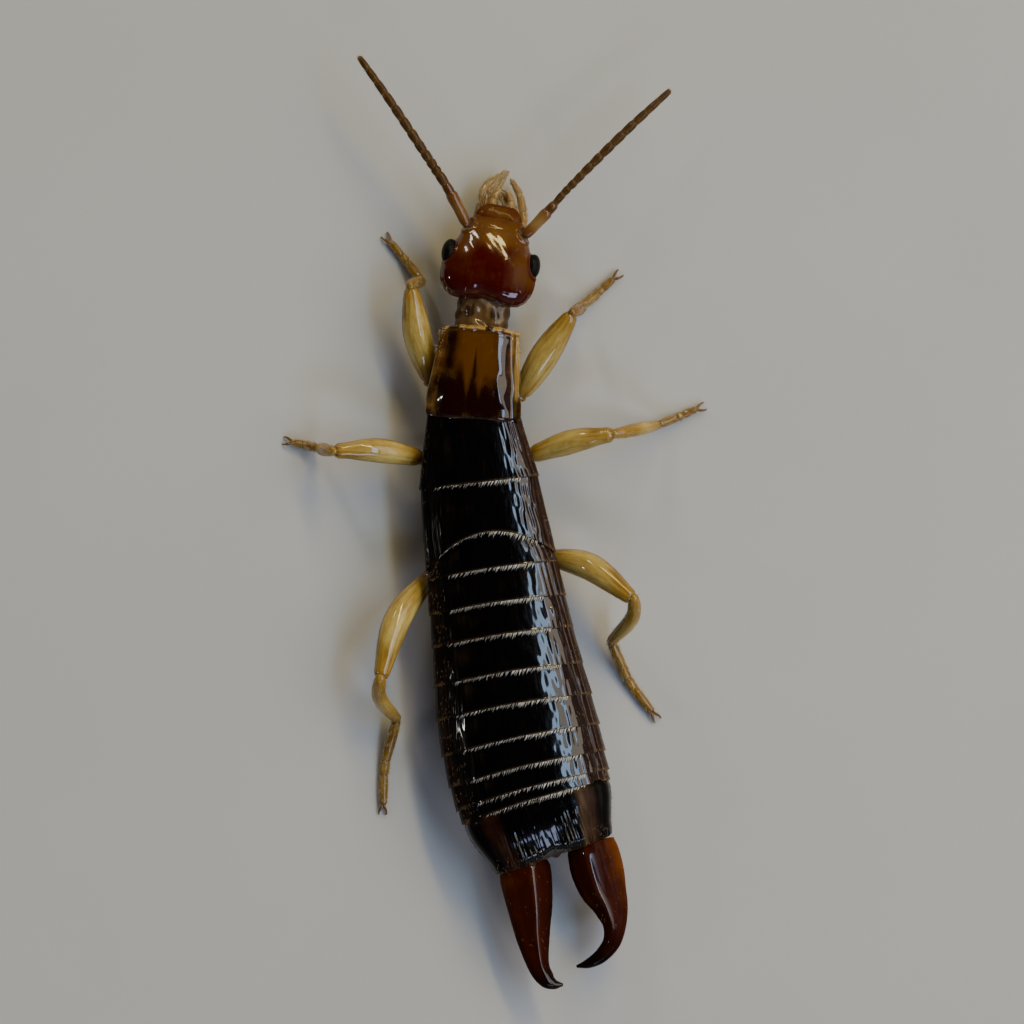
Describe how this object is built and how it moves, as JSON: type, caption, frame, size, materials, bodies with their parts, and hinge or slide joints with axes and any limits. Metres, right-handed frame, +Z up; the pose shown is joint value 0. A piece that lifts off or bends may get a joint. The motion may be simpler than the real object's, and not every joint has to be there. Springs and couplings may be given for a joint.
{
  "type": "earwig",
  "caption": "Still life-size model of a wingless male earwig standing level: flattened dark body in overlapping plates, unequal curved forceps, pale bent legs and beaded feelers.",
  "frame": {"origin": "middle of the animal's box, on the floor that its feet stand on", "axes": "+Y towards the head along the body, +X to the animal's right, +Z up from the floor"},
  "size_m": [0.0138, 0.0299, 0.0029],
  "materials": {
    "head_shell": "polished red-brown horny shell, amber towards the front",
    "pronotum_shell": "polished amber-brown shell, near black at the rear",
    "dark_shell": "polished near-black shell, brown at the sides",
    "forceps_shell": "polished dark mahogany shell",
    "leg_shell": "glossy translucent-looking yellow-amber shell",
    "antenna_shell": "finely hairy brown shell with pale joints",
    "mouth_shell": "thin amber and tan shell",
    "eye": "black faceted cornea, satin",
    "membrane": "soft wrinkled pale skin"
  },
  "bodies": {
    "root": {"head": "head_shell", "eye_left": "eye", "eye_right": "eye", "mouthparts": "mouth_shell", "palp_left": "mouth_shell", "palp_right": "mouth_shell", "antenna_left": "antenna_shell", "antenna_right": "antenna_shell", "neck": "membrane", "prothorax": "pronotum_shell", "mesothorax": "dark_shell", "metathorax": "dark_shell", "abdomen": "dark_shell", "tail_segment": "dark_shell", "forceps_left": "forceps_shell", "forceps_right": "forceps_shell", "leg_front_left": "leg_shell", "leg_front_right": "leg_shell", "leg_middle_left": "leg_shell", "leg_middle_right": "leg_shell", "leg_hind_left": "leg_shell", "leg_hind_right": "leg_shell"}
  },
  "joints": []
}
